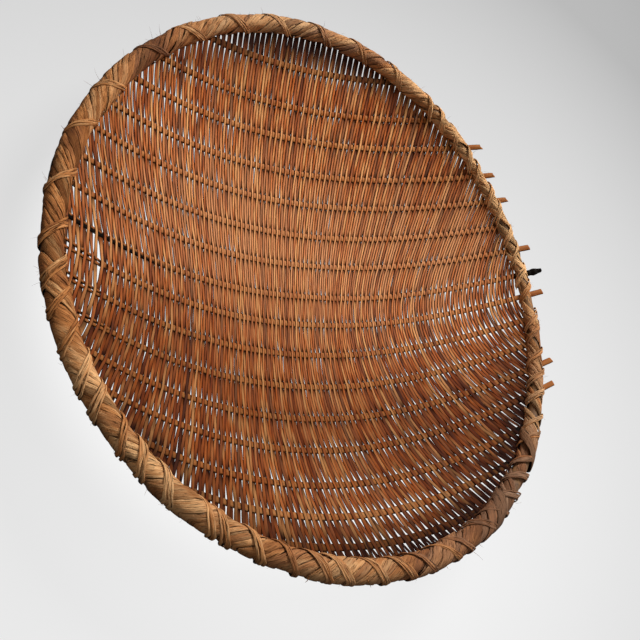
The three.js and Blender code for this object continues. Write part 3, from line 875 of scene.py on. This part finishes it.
def make_fibres():
    """All the fibres as one piece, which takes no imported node's place."""
    skin = Skin()
    for _ in range(FIBRE_COUNT):
        add_fibre(skin, rng.uniform(0, 2 * math.pi), rng.uniform(-0.7, 1.7), rng.uniform(2, 6.5),
                  rng.uniform(0.12, 0.24), rng.uniform(-0.85, 0.85), rng.uniform(-0.6, 0.6))
    for degrees, length, thick in LONG_FIBRES:
        add_fibre(skin, math.radians(degrees), rng.uniform(0.0, 0.4), length, thick, rng.uniform(-0.5, 0.5),
                  rng.uniform(-0.4, 0.4))
    skin.piece("loose_fibres", bast, [])


weavers = weaver_places()
meeting = crossings(weavers)
make_weavers(weavers, meeting)
make_stakes(weavers, meeting)
make_hoops()
make_rim()
make_fibres()


# Floor, light and camera, in metres

def looked_at(tree):
    """One where the camera sees a thing, directly or in a gloss or through glass, and zero for all other rays."""
    rays = node(tree, "ShaderNodeLightPath").outputs
    seen = rays["Is Camera Ray"]
    for kind in ("Is Glossy Ray", "Is Transmission Ray"):
        seen = node(tree, "ShaderNodeMath", {"operation": "ADD", "use_clamp": True},
                    links={0: seen, 1: rays[kind]}).outputs[0]
    return seen


FLOOR_SIDE, FLOOR_Z = 6.0, -0.0004
# Painted light on the floor: its tones fall off with the distance from its palest spot, which lies before the
# basket, and a painted pool of light under the basket shows through the weave
FLOOR_PALEST, FLOOR_STRETCH = (0.0, 0.2, 0.0), (0.8, 1.0, 1.0)
FLOOR_LIGHT_FALLOFF = [(0.065, "EAEAEA"), (0.235, "DDDDDD"), (0.405, "CFCFCF"), (0.576, "BFBFBF"), (0.746, "ABABAB"),
               (0.917, "959595")]
POOL_OF_LIGHT_TONE, POOL_INNER, POOL_OUTER = "F6F6F6", 0.19, 0.25

floor_mesh = bpy.data.meshes.new("floor")
floor_mesh.from_pydata([(-FLOOR_SIDE, -FLOOR_SIDE, FLOOR_Z), (FLOOR_SIDE, -FLOOR_SIDE, FLOOR_Z),
                        (FLOOR_SIDE, FLOOR_SIDE, FLOOR_Z), (-FLOOR_SIDE, FLOOR_SIDE, FLOOR_Z)], [], [(0, 1, 2, 3)])
floor = bpy.data.objects.new("floor", floor_mesh)
bpy.context.collection.objects.link(floor)
# Pale paper: the eye sees its tone with the basket's shadow on it, and other rays meet a plain grey
paper = bpy.data.materials.new("pale_paper")
paper.use_nodes = True
paper_tree = paper.node_tree
paper_tree.nodes.remove(paper_tree.nodes["Principled BSDF"])
shaded = node(paper_tree, "ShaderNodeBsdfDiffuse", inputs={"Color": linear("5A5A5A")}).outputs[0]
spot = node(paper_tree, "ShaderNodeTexCoord").outputs["Object"]
shifted = node(paper_tree, "ShaderNodeMapping", inputs={"Location": FLOOR_PALEST, "Scale": FLOOR_STRETCH},
               links={"Vector": spot}).outputs["Vector"]
away = node(paper_tree, "ShaderNodeVectorMath", {"operation": "LENGTH"}, links={0: shifted}).outputs["Value"]
fade = node(paper_tree, "ShaderNodeValToRGB", links={"Fac": away}, stops=FLOOR_LIGHT_FALLOFF).outputs["Color"]
far = node(paper_tree, "ShaderNodeVectorMath", {"operation": "LENGTH"}, links={0: spot}).outputs["Value"]
# The painted pool of light under the basket
near = node(paper_tree, "ShaderNodeMapRange", {"interpolation_type": "SMOOTHSTEP"},
            {"From Min": POOL_INNER, "From Max": POOL_OUTER, "To Min": 1.0, "To Max": 0.0},
            {"Value": far}).outputs[0]
tone = node(paper_tree, "ShaderNodeMix", {"data_type": "RGBA"}, {7: linear(POOL_OF_LIGHT_TONE)},
            {0: near, 6: fade}).outputs[2]
glow = node(paper_tree, "ShaderNodeEmission", inputs={"Strength": 1.0}, links={"Color": tone}).outputs[0]
seen_paper = node(paper_tree, "ShaderNodeAddShader", links={0: shaded, 1: glow}).outputs[0]
plain = node(paper_tree, "ShaderNodeBsdfDiffuse", inputs={"Color": linear("8C8C8C")}).outputs[0]
front = node(paper_tree, "ShaderNodeMixShader", links={0: looked_at(paper_tree), 1: plain, 2: seen_paper}).outputs[0]
paper_tree.links.new(front, paper_tree.nodes["Material Output"].inputs["Surface"])
floor_mesh.materials.append(paper)

# The world: a faint white light from all sides, and a pale grey for the eye
scene = bpy.context.scene
world = bpy.data.worlds.new("pale_studio")
scene.world = world
world.use_nodes = True
world_tree = world.node_tree
sky = world_tree.nodes["Background"]
sky.inputs["Color"].default_value = linear("FFFFFF")
sky.inputs["Strength"].default_value = 0.2
backdrop = node(world_tree, "ShaderNodeBackground", inputs={"Color": linear("E6E6E6"), "Strength": 1.0})
whole = node(world_tree, "ShaderNodeMixShader",
             links={0: looked_at(world_tree), 1: sky.outputs[0], 2: backdrop.outputs[0]}).outputs[0]
world_tree.links.new(whole, world_tree.nodes["World Output"].inputs["Surface"])


def lamp(name, place, size, power):
    """A soft square lamp at a place, turned so that it shines at the basket."""
    light = bpy.data.lights.new(name, "AREA")
    light.shape = "SQUARE"
    light.size = size
    light.energy = power
    thing = bpy.data.objects.new(name, light)
    bpy.context.collection.objects.link(thing)
    thing.location = place
    thing.rotation_mode = "QUATERNION"
    thing.rotation_quaternion = (Vector((0, 0, 0.03)) - Vector(place)).to_track_quat("-Z", "Y")


lamp("window", (0.62, 0.72, 1.05), 0.6, 24.0)
lamp("fill", (-1.1, -0.6, 1.6), 1.6, 3.0)

scene.view_settings.view_transform = "Standard"

# The camera, as fitted to the rim and the stakes: its focal length in picture widths, its axes and its place
SENSOR_WIDTH, FOCAL_WIDTHS = 36.0, 617.4 / 640
camera_data = bpy.data.cameras.new("camera")
camera_data.sensor_fit = "HORIZONTAL"
camera_data.sensor_width = SENSOR_WIDTH
camera_data.lens = FOCAL_WIDTHS * SENSOR_WIDTH
camera_data.clip_start = 0.01
camera = bpy.data.objects.new("camera", camera_data)
bpy.context.collection.objects.link(camera)
RIGHT, UP, BACK = (0.8656, -0.0724, 0.4955), (-0.1171, 0.9328, 0.3407), (-0.4869, -0.3529, 0.7990)
camera.rotation_mode = "QUATERNION"
camera.rotation_quaternion = Matrix((RIGHT, UP, BACK)).transposed().to_quaternion()
camera.location = (-0.2574, -0.2160, 0.4437)
scene.camera = camera
